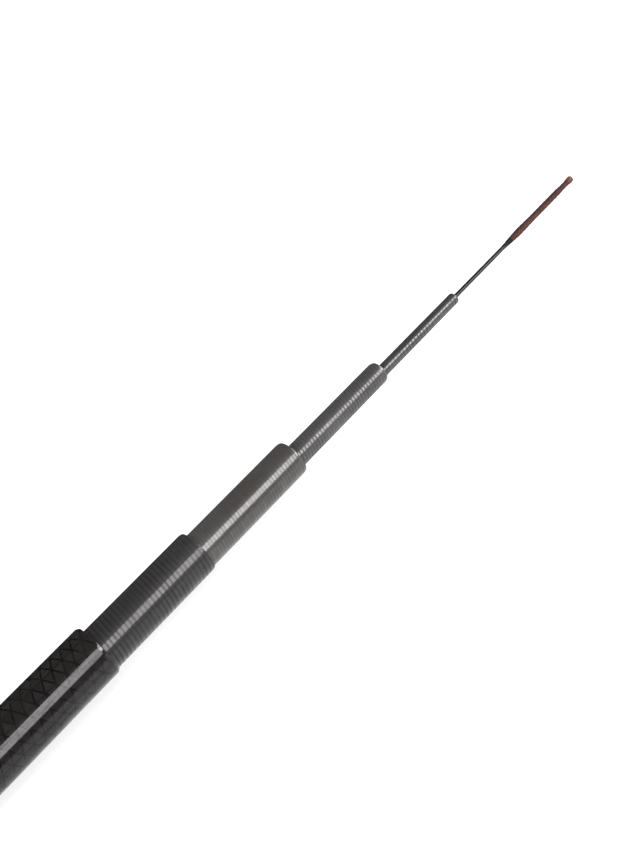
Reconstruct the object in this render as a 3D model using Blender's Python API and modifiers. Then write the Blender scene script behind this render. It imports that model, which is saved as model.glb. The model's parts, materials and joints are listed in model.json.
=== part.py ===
"""Telescopic hand pole: a cross-wrapped butt, four tapered sections, a solid tip and a braided connector.

The pole lies along +X with the flat end of its screw cap at x = 0, and each section is drawn out by about
40 mm. Every section is sized from the one inside it, so the diameters follow from the tip outwards. The
lengths follow from the butt inwards, because the whole nest has to fit in it. Sizes are in metres.
"""

import math

import bmesh
import bpy

COLLECTION_NAME = "telescopic_hand_pole"
CUTTER_COLLECTION_NAME = "cutters"

# Lengths: the second section leaves room for the cap's shank, and each one after it is a step shorter
BUTT_LENGTH = 0.620
SECTION_2_SHORTER = 0.020
NEST_STEP = 0.008
TIP_SHORTER = 0.009

# Solid tip. A growth is how much thicker a piece is at its base than at its mouth or end
TIP_END_DIAMETER = 0.00145
TIP_GROWTH = 0.00041
TIP_BASE_ROUND = 0.0004

# Hollow sections, from the slimmest to the butt
SECTION_5_GROWTH = 0.00167
SECTION_5_MOUTH_WALL = 0.000985
SECTION_5_BODY_WALL = 0.00060
SECTION_4_GROWTH = 0.00277
SECTION_4_MOUTH_WALL = 0.00088
SECTION_4_BODY_WALL = 0.00060
SECTION_3_GROWTH = 0.00118
SECTION_3_MOUTH_WALL = 0.00081
SECTION_3_BODY_WALL = 0.00058
SECTION_2_GROWTH = 0.00132
SECTION_2_MOUTH_WALL = 0.00050
SECTION_2_BODY_WALL = 0.00050
BUTT_GROWTH = 0.00279
BUTT_MOUTH_WALL = 0.00075
BUTT_BODY_WALL = 0.00090

# How far each mouth stands out of the mouth before it, and how much stays inside when the section is locked
SECTION_2_DRAWN = 0.0399
SECTION_3_DRAWN = 0.0414
SECTION_4_DRAWN = 0.0410
SECTION_5_DRAWN = 0.0378
TIP_DRAWN = 0.0307
SECTION_2_OVERLAP = 0.050
SECTION_3_OVERLAP = 0.042
SECTION_4_OVERLAP = 0.034
SECTION_5_OVERLAP = 0.026
TIP_OVERLAP = 0.020

# Fits between the sections
LOCK_CLEARANCE = 0.00006
LYING_GAP = 0.00006
SEAT_LENGTH = 0.060
SEAT_RUNOUT = 0.020
LIP_ROUND = 0.00090
LIP_WALL_SHARE = 0.80
LIP_INNER_ROUND = 0.00015
LIP_INNER_WALL_SHARE = 0.15
BASE_CHAMFER = 0.00020

# Line connector: a black collar, and a braid whose far end is heat-sealed and flares
COLLAR_LENGTH = 0.0036
COLLAR_START_DIAMETER = 0.00142
COLLAR_END_DIAMETER = 0.00188
COLLAR_FIT = 0.00004
COLLAR_WAIST_PLACE = 0.50
COLLAR_WAIST_GROWTH = 0.40
COLLAR_RIM_PLACE = 0.85
BRAID_LENGTH = 0.0348
BRAID_START_DIAMETER = 0.00217
BRAID_SHOULDER_DIAMETER = 0.00255
BRAID_MIDDLE_DIAMETER = 0.00229
BRAID_WAIST_DIAMETER = 0.00203
BRAID_FLARE_DIAMETER = 0.00247
BRAID_SHOULDER_PLACE = 0.0046
BRAID_MIDDLE_PLACE = 0.0128
BRAID_WAIST_START = 0.0066
BRAID_WAIST_END = 0.0029
BRAID_WAIST_RUN = 0.0025
BRAID_FLARE_RUN = 0.0010
BRAID_BORE_FIT = 0.00005
BRAID_GRIP_LENGTH = 0.0090
TOUCH_GAP = 0.00010

# Screw cap, washer, insert and pad
CAP_THICKNESS = 0.0060
CAP_RIM_PROUD = 0.0005
CAP_EDGE_ROUND = 0.0008
CAP_SHANK_LENGTH = 0.0095
CAP_DISH_DEPTH = 0.0030
CAP_SHANK_WALL = 0.0014
CAP_FLUTES = 30
CAP_FLUTE_DEPTH = 0.00045
CAP_FLUTE_RADIUS = 0.00075
CAP_FLUTE_MARGIN = 0.0007
THREAD_CLEARANCE = 0.00012
PASSING_CLEARANCE = 0.00015
WASHER_THICKNESS = 0.0010
WASHER_WIDTH = 0.0015
WASHER_EDGE = 0.00025
INSERT_FLANGE_THICKNESS = 0.0012
INSERT_SLEEVE_LENGTH = 0.0080
INSERT_GLUE_GAP = 0.00008
PAD_THICKNESS = 0.0028
PAD_EDGE_ROUND = 0.0006
LANDING_GAP = 0.0003

# Facets
WIDE_STEPS = 48
NARROW_STEPS = 32
TIP_STEPS = 24
FLUTE_STEPS = 10
ROUND_POINTS = 4
PAD_ROUND_POINTS = 3
BRAID_RINGS = 30
BRAID_BEVEL_POINTS = 2
WELD_DISTANCE = 0.000001
SHARP_ANGLE = math.radians(30)
AXIS_DISPLAY_SIZE = 0.02


class Section:
    """A hollow section, sized so that the base of the piece inside it locks in its mouth."""

    def __init__(self, length, growth, mouth_wall, body_wall, inner_base_radius):
        self.length = length
        self.slope = growth / 2 / length
        self.mouth_wall = mouth_wall
        self.body_wall = body_wall
        self.bore_mouth_radius = inner_base_radius + LOCK_CLEARANCE
        self.mouth_radius = self.bore_mouth_radius + mouth_wall
        self.base_radius = self.mouth_radius + growth / 2

    def outer_radius(self, behind_mouth):
        return self.mouth_radius + self.slope * behind_mouth

    def bore_radius(self, behind_mouth):
        """The bore keeps the mouth's wall over the seat, then widens to the body's wall."""
        share = min(max((behind_mouth - SEAT_LENGTH) / SEAT_RUNOUT, 0), 1)
        wall = self.mouth_wall + share * (self.body_wall - self.mouth_wall)
        return self.outer_radius(behind_mouth) - wall


SECTION_2_LENGTH = BUTT_LENGTH - SECTION_2_SHORTER
SECTION_3_LENGTH = SECTION_2_LENGTH - NEST_STEP
SECTION_4_LENGTH = SECTION_3_LENGTH - NEST_STEP
SECTION_5_LENGTH = SECTION_4_LENGTH - NEST_STEP
TIP_LENGTH = SECTION_5_LENGTH - TIP_SHORTER
TIP_BASE_RADIUS = (TIP_END_DIAMETER + TIP_GROWTH) / 2
SECTION_5 = Section(
    SECTION_5_LENGTH, SECTION_5_GROWTH, SECTION_5_MOUTH_WALL, SECTION_5_BODY_WALL, TIP_BASE_RADIUS
)
SECTION_4 = Section(
    SECTION_4_LENGTH, SECTION_4_GROWTH, SECTION_4_MOUTH_WALL, SECTION_4_BODY_WALL, SECTION_5.base_radius
)
SECTION_3 = Section(
    SECTION_3_LENGTH, SECTION_3_GROWTH, SECTION_3_MOUTH_WALL, SECTION_3_BODY_WALL, SECTION_4.base_radius
)
SECTION_2 = Section(
    SECTION_2_LENGTH, SECTION_2_GROWTH, SECTION_2_MOUTH_WALL, SECTION_2_BODY_WALL, SECTION_3.base_radius
)
BUTT = Section(BUTT_LENGTH, BUTT_GROWTH, BUTT_MOUTH_WALL, BUTT_BODY_WALL, SECTION_2.base_radius)

# Places along the pole
WASHER_START = CAP_THICKNESS + TOUCH_GAP
INSERT_START = WASHER_START + WASHER_THICKNESS + TOUCH_GAP
BUTT_START = INSERT_START + INSERT_FLANGE_THICKNESS + TOUCH_GAP
PAD_START = CAP_THICKNESS + CAP_SHANK_LENGTH + TOUCH_GAP
LANDING = PAD_START + PAD_THICKNESS + LANDING_GAP
BUTT_MOUTH = BUTT_START + BUTT_LENGTH
SECTION_2_MOUTH = BUTT_MOUTH + SECTION_2_DRAWN
SECTION_3_MOUTH = SECTION_2_MOUTH + SECTION_3_DRAWN
SECTION_4_MOUTH = SECTION_3_MOUTH + SECTION_4_DRAWN
SECTION_5_MOUTH = SECTION_4_MOUTH + SECTION_5_DRAWN
BRAID_START = SECTION_5_MOUTH + TIP_DRAWN
TIP_END = BRAID_START + BRAID_GRIP_LENGTH - TOUCH_GAP
SECTION_2_BASE = SECTION_2_MOUTH - SECTION_2_LENGTH
SECTION_3_BASE = SECTION_3_MOUTH - SECTION_3_LENGTH
SECTION_4_BASE = SECTION_4_MOUTH - SECTION_4_LENGTH
SECTION_5_BASE = SECTION_5_MOUTH - SECTION_5_LENGTH
TIP_BASE = TIP_END - TIP_LENGTH


class Slide:
    """How a hollow section lies on its parent's bore floor, and rides up its own taper as it is drawn.

    The section stays parallel to the pole and travels along a straight line, from its landing on the cap's
    pad or level with its parent's base, to the lock at its parent's mouth.
    """

    def __init__(self, outer, inner, outer_base, inner_base, back_stop, overlap):
        self.back = inner_base - back_stop
        self.out = outer_base + outer.length - overlap - inner_base
        closed = self.room(outer, inner, outer_base, inner_base - self.back)
        locked = self.room(outer, inner, outer_base, inner_base + self.out)
        self.rise = (closed - locked) / (self.back + self.out)
        self.drop = closed - self.rise * self.back

    @staticmethod
    def room(outer, inner, outer_base, inner_base):
        """The least space under a centred section, at its parent's mouth and at its own base."""
        outer_mouth = outer_base + outer.length
        at_mouth = outer.bore_mouth_radius - inner.outer_radius(inner_base + inner.length - outer_mouth)
        at_base = outer.bore_radius(outer_mouth - inner_base) - inner.base_radius
        return max(min(at_mouth, at_base) - LYING_GAP, 0)


SECTION_2_SLIDE = Slide(BUTT, SECTION_2, BUTT_START, SECTION_2_BASE, LANDING, SECTION_2_OVERLAP)
SECTION_3_SLIDE = Slide(
    SECTION_2, SECTION_3, SECTION_2_BASE, SECTION_3_BASE, SECTION_2_BASE, SECTION_3_OVERLAP
)
SECTION_4_SLIDE = Slide(
    SECTION_3, SECTION_4, SECTION_3_BASE, SECTION_4_BASE, SECTION_3_BASE, SECTION_4_OVERLAP
)
SECTION_5_SLIDE = Slide(
    SECTION_4, SECTION_5, SECTION_4_BASE, SECTION_5_BASE, SECTION_4_BASE, SECTION_5_OVERLAP
)


def clear_scene():
    for obj in list(bpy.data.objects):
        bpy.data.objects.remove(obj, do_unlink=True)


def new_collection(name):
    collection = bpy.data.collections.new(name)
    bpy.context.scene.collection.children.link(collection)
    return collection


def material(name, color, roughness, metallic=0.0, coat=0.0):
    made = bpy.data.materials.new(name)
    made.use_nodes = True
    shader = made.node_tree.nodes["Principled BSDF"]
    shader.inputs["Base Color"].default_value = (*color, 1.0)
    shader.inputs["Roughness"].default_value = roughness
    shader.inputs["Metallic"].default_value = metallic
    shader.inputs["Coat Weight"].default_value = coat
    made.diffuse_color = (*color, 1.0)
    return made


def arc(center_radius, center_height, radius, start_degrees, end_degrees, points=ROUND_POINTS):
    """Points of a round in a turned profile, as (radius, height); 0 degrees points away from the axis."""
    angles = [
        math.radians(start_degrees + (end_degrees - start_degrees) * i / points) for i in range(points + 1)
    ]
    return [(center_radius + radius * math.cos(a), center_height + radius * math.sin(a)) for a in angles]


def evaluated_mesh(obj):
    bpy.context.view_layer.update()
    return bpy.data.meshes.new_from_object(obj.evaluated_get(bpy.context.evaluated_depsgraph_get()))


def shade(mesh, made_of):
    mesh.materials.clear()
    mesh.materials.append(made_of)
    mesh.shade_smooth()
    mesh.set_sharp_from_angle(angle=SHARP_ANGLE)


def empty(name, parent, location, collection):
    made = bpy.data.objects.new(name, None)
    made.empty_display_type = "ARROWS"
    made.empty_display_size = AXIS_DISPLAY_SIZE
    made.parent = parent
    made.location = location
    collection.objects.link(made)
    return made


def turned(name, profile, steps, made_of, parent, collection, closed=False, height=0.0):
    """A turned piece. Its profile runs down the outer side, and back up the bore when it is closed."""
    count = len(profile)
    edges = [(i, (i + 1) % count) for i in range(count if closed else count - 1)]
    mesh = bpy.data.meshes.new(name)
    mesh.from_pydata([(radius, 0.0, z) for radius, z in profile], edges, [])
    obj = bpy.data.objects.new(name, mesh)
    collection.objects.link(obj)
    screw = obj.modifiers.new("turn", "SCREW")
    screw.steps = steps
    screw.render_steps = steps
    screw.use_merge_vertices = True
    screw.merge_threshold = WELD_DISTANCE
    whole = evaluated_mesh(obj)
    obj.modifiers.clear()
    obj.data = whole
    bpy.data.meshes.remove(mesh)
    whole.name = name
    shade(whole, made_of)
    obj.parent = parent
    obj.location = (0.0, 0.0, height)
    return obj


def hollow_profile(section):
    """A tapered tube with a rounded lip, a seat behind its mouth and a chamfered base, which is at 0."""
    top = section.length
    lip = min(LIP_ROUND, LIP_WALL_SHARE * section.mouth_wall)
    inner_lip = min(LIP_INNER_ROUND, LIP_INNER_WALL_SHARE * section.mouth_wall)
    base_bore = section.bore_radius(top)
    profile = arc(section.mouth_radius - lip, top - lip, lip, 90, 0)
    profile.append((section.outer_radius(top - BASE_CHAMFER), BASE_CHAMFER))
    profile.append((section.base_radius - BASE_CHAMFER, 0.0))
    profile.append((base_bore + BASE_CHAMFER, 0.0))
    profile.append((base_bore, BASE_CHAMFER))
    seat_end = SEAT_LENGTH + SEAT_RUNOUT
    profile.append((section.bore_radius(seat_end), top - seat_end))
    profile.append((section.bore_radius(SEAT_LENGTH), top - SEAT_LENGTH))
    profile.append((section.bore_mouth_radius, top - inner_lip))
    profile.append((section.bore_mouth_radius + inner_lip, top))
    return profile


def hollow_section(name, section, steps, made_of, parent, collection):
    return turned(name, hollow_profile(section), steps, made_of, parent, collection, closed=True)


def tip_rod(made_of, parent, collection):
    end_radius = TIP_END_DIAMETER / 2
    profile = [(0.0, TIP_LENGTH), (end_radius, TIP_LENGTH)]
    profile += arc(TIP_BASE_RADIUS - TIP_BASE_ROUND, TIP_BASE_ROUND, TIP_BASE_ROUND, 0, -90)
    profile.append((0.0, 0.0))
    return turned("tip_rod", profile, TIP_STEPS, made_of, parent, collection)


def tip_radius_at(place):
    """The tip's radius at a place along the pole."""
    return TIP_END_DIAMETER / 2 + TIP_GROWTH / 2 * (TIP_END - place) / TIP_LENGTH


def connector_collar(made_of, parent, collection):
    """The tapered black neck over the tip's end, just short of the braid."""
    start = BRAID_START - TOUCH_GAP - COLLAR_LENGTH
    bore = tip_radius_at(start) + COLLAR_FIT
    start_radius = max(COLLAR_START_DIAMETER / 2, bore + COLLAR_FIT)
    end_radius = max(COLLAR_END_DIAMETER / 2, bore + COLLAR_FIT)
    waist_radius = start_radius + COLLAR_WAIST_GROWTH * (end_radius - start_radius)
    profile = [
        (end_radius, COLLAR_LENGTH),
        (end_radius, COLLAR_RIM_PLACE * COLLAR_LENGTH),
        (waist_radius, COLLAR_WAIST_PLACE * COLLAR_LENGTH),
        (start_radius, 0.0),
        (bore, 0.0),
        (bore, COLLAR_LENGTH),
    ]
    height = start - TIP_BASE
    return turned(
        "connector_collar", profile, TIP_STEPS, made_of, parent, collection, closed=True, height=height
    )


def smooth_step(share):
    share = min(max(share, 0.0), 1.0)
    return share * share * (3 - 2 * share)


def braid_radius(place):
    """The braid swells over the tip's end, runs even, thins to a waist and flares at its sealed end."""
    flare_end = BRAID_LENGTH - BRAID_FLARE_RUN
    stations = [
        (0.0, BRAID_START_DIAMETER),
        (BRAID_SHOULDER_PLACE, BRAID_SHOULDER_DIAMETER),
        (BRAID_MIDDLE_PLACE, BRAID_MIDDLE_DIAMETER),
        (BRAID_LENGTH - BRAID_WAIST_START - BRAID_WAIST_RUN / 2, BRAID_MIDDLE_DIAMETER),
        (BRAID_LENGTH - BRAID_WAIST_START + BRAID_WAIST_RUN / 2, BRAID_WAIST_DIAMETER),
        (BRAID_LENGTH - BRAID_WAIST_END, BRAID_WAIST_DIAMETER),
        (flare_end, BRAID_FLARE_DIAMETER),
        (BRAID_LENGTH, BRAID_MIDDLE_DIAMETER),
    ]
    for (low, low_size), (high, high_size) in zip(stations, stations[1:]):
        if place <= high:
            return (low_size + (high_size - low_size) * smooth_step((place - low) / (high - low))) / 2
    return BRAID_MIDDLE_DIAMETER / 2


def connector_braid(made_of, parent, collection, cutters):
    """The braided cord, a straight tube with a blind bore in which the tip's end is glued."""
    curve = bpy.data.curves.new("connector_braid", "CURVE")
    curve.dimensions = "3D"
    curve.bevel_depth = 1.0
    curve.bevel_resolution = BRAID_BEVEL_POINTS
    curve.use_fill_caps = True
    spline = curve.splines.new("POLY")
    spline.points.add(BRAID_RINGS)
    for i, point in enumerate(spline.points):
        place = BRAID_LENGTH * i / BRAID_RINGS
        point.co = (0.0, 0.0, place, 1.0)
        point.radius = braid_radius(place)
    route = bpy.data.objects.new("connector_braid_route", curve)
    collection.objects.link(route)
    mesh = evaluated_mesh(route)
    bpy.data.objects.remove(route, do_unlink=True)
    bpy.data.curves.remove(curve)
    weld(mesh)
    mesh.name = "connector_braid"
    obj = bpy.data.objects.new("connector_braid", mesh)
    collection.objects.link(obj)
    obj.parent = parent
    obj.location = (0.0, 0.0, BRAID_START - TIP_BASE)
    bore = tip_radius_at(BRAID_START) + BRAID_BORE_FIT
    depth = BRAID_GRIP_LENGTH
    cutter = turned(
        "braid_bore_cutter",
        [(0.0, depth), (bore, depth), (bore, -depth), (0.0, -depth)],
        TIP_STEPS,
        made_of,
        parent,
        cutters,
        height=BRAID_START - TIP_BASE,
    )
    cut(obj, cutter)
    shade(obj.data, made_of)
    return obj


def weld(mesh):
    """Joins a curve's loose caps to its sides."""
    shape = bmesh.new()
    shape.from_mesh(mesh)
    bmesh.ops.remove_doubles(shape, verts=shape.verts, dist=WELD_DISTANCE)
    bmesh.ops.recalc_face_normals(shape, faces=shape.faces)
    shape.to_mesh(mesh)
    shape.free()


def cut(obj, cutter):
    cutter.hide_render = True
    cutter.display_type = "WIRE"
    boolean = obj.modifiers.new("cut_" + cutter.name, "BOOLEAN")
    boolean.operation = "DIFFERENCE"
    boolean.solver = "EXACT"
    boolean.object = cutter


def thread_radii():
    """(bore of the insert, outside of the cap's shank): the second section's base passes the insert."""
    bore = SECTION_2.base_radius + PASSING_CLEARANCE
    return bore, bore - THREAD_CLEARANCE


def butt_insert(made_of, parent, collection):
    """The glued-in ring: a flange over the tube's end and a sleeve that follows the tube's bore."""
    bore, _ = thread_radii()
    flange = BUTT.base_radius - BASE_CHAMFER / 2
    start = INSERT_FLANGE_THICKNESS
    end = start + INSERT_SLEEVE_LENGTH
    sleeve = BUTT.bore_radius(BUTT_LENGTH - INSERT_SLEEVE_LENGTH) - INSERT_GLUE_GAP
    chamfer = BASE_CHAMFER
    profile = [
        (sleeve - chamfer, end),
        (sleeve, end - chamfer),
        (sleeve, start),
        (flange - chamfer, start),
        (flange, start - chamfer),
        (flange, chamfer),
        (flange - chamfer, 0.0),
        (bore + chamfer, 0.0),
        (bore, chamfer),
        (bore, end - chamfer),
        (bore + chamfer, end),
    ]
    return turned(
        "butt_insert", profile, WIDE_STEPS, made_of, parent, collection, closed=True, height=INSERT_START
    )


def cap_washer(made_of, parent, collection):
    """A flat rubber ring round the cap's shank, pinched between the cap and the insert."""
    _, shank = thread_radii()
    inner = shank + THREAD_CLEARANCE
    outer = inner + WASHER_WIDTH
    profile = [
        (outer - WASHER_EDGE, WASHER_THICKNESS),
        (outer, WASHER_THICKNESS - WASHER_EDGE),
        (outer, WASHER_EDGE),
        (outer - WASHER_EDGE, 0.0),
        (inner, 0.0),
        (inner, WASHER_THICKNESS),
    ]
    return turned("cap_washer", profile, WIDE_STEPS, made_of, parent, collection, closed=True)


def butt_cap(made_of, parent, collection, cutters):
    """The screw cap: a fluted head with a flat end, and a shank that is dished at its inner end."""
    _, shank = thread_radii()
    head = BUTT.base_radius + CAP_RIM_PROUD
    top = CAP_THICKNESS + CAP_SHANK_LENGTH
    edge = CAP_EDGE_ROUND
    dish = shank - CAP_SHANK_WALL
    profile = [(0.0, top - CAP_DISH_DEPTH), (dish, top - CAP_DISH_DEPTH), (dish, top)]
    profile += [(shank - BASE_CHAMFER, top), (shank, top - BASE_CHAMFER), (shank, CAP_THICKNESS)]
    profile += arc(head - edge / 2, CAP_THICKNESS - edge / 2, edge / 2, 90, 0)
    profile += arc(head - edge, edge, edge, 0, -90)
    profile.append((0.0, 0.0))
    obj = turned("butt_cap", profile, 2 * WIDE_STEPS, made_of, parent, collection)
    cut(obj, flute_cutter(head, cutters, parent, made_of))
    return obj


def flute_cutter(head, cutters, parent, made_of):
    """A ring of round bars that cut the grip flutes into the cap's head."""
    shape = bmesh.new()
    centre = head + CAP_FLUTE_RADIUS - CAP_FLUTE_DEPTH
    length = CAP_THICKNESS - 2 * CAP_FLUTE_MARGIN
    for i in range(CAP_FLUTES):
        angle = 2 * math.pi * i / CAP_FLUTES
        made = bmesh.ops.create_cone(
            shape,
            cap_ends=True,
            segments=FLUTE_STEPS,
            radius1=CAP_FLUTE_RADIUS,
            radius2=CAP_FLUTE_RADIUS,
            depth=length,
        )
        offset = (centre * math.cos(angle), centre * math.sin(angle), CAP_THICKNESS / 2)
        bmesh.ops.translate(shape, verts=made["verts"], vec=offset)
    mesh = bpy.data.meshes.new("flute_cutter")
    shape.to_mesh(mesh)
    shape.free()
    mesh.materials.append(made_of)
    cutter = bpy.data.objects.new("flute_cutter", mesh)
    cutters.objects.link(cutter)
    cutter.parent = parent
    return cutter


def cap_pad(made_of, parent, collection):
    """The foam disc on the shank's inner end, on which the pushed-in sections land."""
    _, shank = thread_radii()
    radius = shank - BASE_CHAMFER
    edge = PAD_EDGE_ROUND
    profile = [(0.0, PAD_THICKNESS)]
    profile += arc(radius - edge, PAD_THICKNESS - edge, edge, 90, 0, PAD_ROUND_POINTS)
    profile += arc(radius - edge, edge, edge, 0, -90, PAD_ROUND_POINTS)
    profile.append((0.0, 0.0))
    return turned("cap_pad", profile, WIDE_STEPS, made_of, parent, collection, height=PAD_START)


def make_materials():
    return {
        "butt": material("cross_wrapped_carbon", (0.020, 0.018, 0.018), 0.22, coat=1.0),
        "section_2": material("ribbed_graphite", (0.045, 0.044, 0.045), 0.28, coat=1.0),
        "section_3": material("ribbed_warm_grey", (0.080, 0.074, 0.070), 0.28, coat=1.0),
        "section_4": material("ribbed_grey", (0.080, 0.078, 0.077), 0.30, coat=1.0),
        "section_5": material("ribbed_dark_grey", (0.060, 0.060, 0.061), 0.30, coat=1.0),
        "tip": material("black_tip", (0.030, 0.030, 0.030), 0.35, coat=0.5),
        "collar": material("black_varnish", (0.015, 0.015, 0.015), 0.40),
        "braid": material("red_brown_braid", (0.150, 0.060, 0.045), 0.85),
        "metal": material("black_anodised", (0.050, 0.050, 0.055), 0.35, metallic=1.0),
        "rubber": material("black_rubber", (0.020, 0.020, 0.020), 0.75),
        "foam": material("grey_foam", (0.090, 0.090, 0.090), 0.90),
    }


def build():
    clear_scene()
    collection = new_collection(COLLECTION_NAME)
    cutters = new_collection(CUTTER_COLLECTION_NAME)
    finish = make_materials()

    # The axes of the pieces point along +X: an empty turned by a quarter turn carries them all.
    pole = empty("pole_axis", None, (0.0, 0.0, 0.0), collection)
    pole.rotation_euler = (0.0, math.pi / 2, 0.0)

    butt_frame = empty("butt_frame", pole, (0.0, 0.0, 0.0), collection)
    butt = hollow_section("butt_tube", BUTT, WIDE_STEPS, finish["butt"], butt_frame, collection)
    butt.location = (0.0, 0.0, BUTT_START)
    butt_insert(finish["metal"], butt_frame, collection)

    washer_slide = empty("cap_travel_axis", butt_frame, (0.0, 0.0, WASHER_START), collection)
    cap_washer(finish["rubber"], washer_slide, collection)
    cap_turn = empty("cap_turn_axis", washer_slide, (0.0, 0.0, -WASHER_START), collection)
    butt_cap(finish["metal"], cap_turn, collection, cutters)
    cap_pad(finish["foam"], cap_turn, collection)

    # Under the quarter turn, local +X points down, so a section's drop is its local x.
    nest = [
        ("section_2", SECTION_2, SECTION_2_BASE, SECTION_2_SLIDE.drop, WIDE_STEPS),
        ("section_3", SECTION_3, SECTION_3_BASE, SECTION_3_SLIDE.drop, WIDE_STEPS),
        ("section_4", SECTION_4, SECTION_4_BASE, SECTION_4_SLIDE.drop, NARROW_STEPS),
        ("section_5", SECTION_5, SECTION_5_BASE, SECTION_5_SLIDE.drop, NARROW_STEPS),
    ]
    carrier = butt_frame
    carrier_base = 0.0
    for name, section, base, drop, steps in nest:
        carrier = empty(name + "_slide_axis", carrier, (drop, 0.0, base - carrier_base), collection)
        carrier_base = base
        hollow_section(name + "_tube", section, steps, finish[name], carrier, collection)

    tip_slide = empty("tip_slide_axis", carrier, (0.0, 0.0, TIP_BASE - carrier_base), collection)
    tip_rod(finish["tip"], tip_slide, collection)
    connector_collar(finish["collar"], tip_slide, collection)
    connector_braid(finish["braid"], tip_slide, collection, cutters)


build()
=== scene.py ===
"""Finishes a telescopic hand pole: cross-wrapped butt, ribbed sections, black tip and braided connector."""

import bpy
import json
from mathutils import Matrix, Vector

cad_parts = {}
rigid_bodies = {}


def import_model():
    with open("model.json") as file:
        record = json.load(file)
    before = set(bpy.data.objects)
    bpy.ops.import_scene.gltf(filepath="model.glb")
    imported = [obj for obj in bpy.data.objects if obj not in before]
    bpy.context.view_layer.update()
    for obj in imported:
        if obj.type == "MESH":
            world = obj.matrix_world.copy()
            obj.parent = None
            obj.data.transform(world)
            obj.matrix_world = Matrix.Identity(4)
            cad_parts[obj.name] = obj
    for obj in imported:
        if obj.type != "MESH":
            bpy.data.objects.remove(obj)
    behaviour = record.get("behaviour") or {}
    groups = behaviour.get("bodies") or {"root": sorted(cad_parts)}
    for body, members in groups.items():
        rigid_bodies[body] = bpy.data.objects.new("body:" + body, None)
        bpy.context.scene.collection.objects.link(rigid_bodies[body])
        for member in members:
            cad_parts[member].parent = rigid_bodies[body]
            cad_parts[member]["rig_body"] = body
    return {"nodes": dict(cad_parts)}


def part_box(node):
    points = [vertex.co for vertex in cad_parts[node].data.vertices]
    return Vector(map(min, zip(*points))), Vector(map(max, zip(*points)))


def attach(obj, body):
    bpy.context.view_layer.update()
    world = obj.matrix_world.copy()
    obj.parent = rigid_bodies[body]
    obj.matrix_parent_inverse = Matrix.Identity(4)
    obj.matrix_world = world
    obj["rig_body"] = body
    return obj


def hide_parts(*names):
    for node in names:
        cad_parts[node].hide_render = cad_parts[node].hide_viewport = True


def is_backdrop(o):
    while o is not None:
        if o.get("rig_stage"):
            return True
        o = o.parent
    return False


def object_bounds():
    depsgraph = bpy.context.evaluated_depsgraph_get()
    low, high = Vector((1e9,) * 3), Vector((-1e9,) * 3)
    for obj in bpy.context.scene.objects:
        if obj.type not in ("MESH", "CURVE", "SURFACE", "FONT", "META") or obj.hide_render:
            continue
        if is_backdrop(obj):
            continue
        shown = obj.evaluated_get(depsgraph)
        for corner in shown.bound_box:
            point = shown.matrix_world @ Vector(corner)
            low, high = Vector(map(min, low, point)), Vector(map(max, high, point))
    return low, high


bl_info = {
    "name": "Telescopic Hand Pole",
    "version": (1, 0, 0),
    "blender": (4, 5, 0),
    "location": "View3D > Sidebar > Hand Pole",
    "description": "Builds the finished look of a telescopic hand pole round its solid pieces",
    "category": "Object",
}

import json
import math

import bmesh
import bpy
import numpy as np
from bpy.props import FloatProperty, FloatVectorProperty, IntProperty, PointerProperty
from mathutils import Matrix, Vector

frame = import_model()

TURN = 2 * math.pi

# Sizes that the solids and their skins share
SEAT_LENGTH = 0.060
SEAT_RUNOUT = 0.020
BASE_CHAMFER = 0.0002
INNER_LIP_SHARE = 0.15

# The camera of the photograph, and the height of its frame in pixels
FRAME_HEIGHT = 853
SENSOR = 36.0
CAMERA_PLACE = (0.60227, -0.29450, 0.17003)
CAMERA_YAW = math.radians(22.2647)
CAMERA_PITCH = math.radians(-28.2025)
CAMERA_ROLL = math.radians(-34.5784)
CAMERA_FOCAL_PIXELS = 1160.15

# Lamps as place and size, and the place on the pole that they face. The first two show in the gloss
STRIP_LIGHT = ((0.60, -0.556, 0.225), (6.4, 0.335))
END_LIGHT = ((2.05, -0.30, 0.29), (1.1, 0.42))
SOFT_BOX = ((0.60, -0.563, 1.060), (7.0, 1.6))
BACK_BOX = ((0.60, 1.10, 0.30), (7.0, 0.8))
LIT_PLACE = (0.60, 0.0, 0.0)

WHITE = (1.0, 1.0, 1.0)

# The highlights have a faint violet cast
GLOSS_TINT = (1.0, 0.972, 0.995)

# The floor's white near the pole and away from it, and the glowing strips on it that only the gloss sees: a
# painted reflection on the pole, on a floor nearly dark in the gloss elsewhere
FLOOR_HALF = 12.0
FLOOR_WHITES = (0.72, 0.92)
FLOOR_WHITES_AT = (0.04, 0.30)
FLOOR_SHADED = (0.7, 0.7, 0.7)
GLOSS_DARK = 0.03
GLOSS_STRIP = 1.02
GLOSS_STRIPS = (((-0.060, -0.022), (-0.003, 0.003)), ((0.009, 0.014), (0.034, 0.046)))
WORLD_IN_GLOSS = 0.02


# ---------------------------------------------------------------- measures of the solids


def radii_of(node, drop=0.0):
    """The points of a round solid, and how far each lies from its axis."""
    points = np.array([v.co for v in frame["nodes"][node].data.vertices])
    return points, np.hypot(points[:, 1], points[:, 2] + drop)


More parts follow.
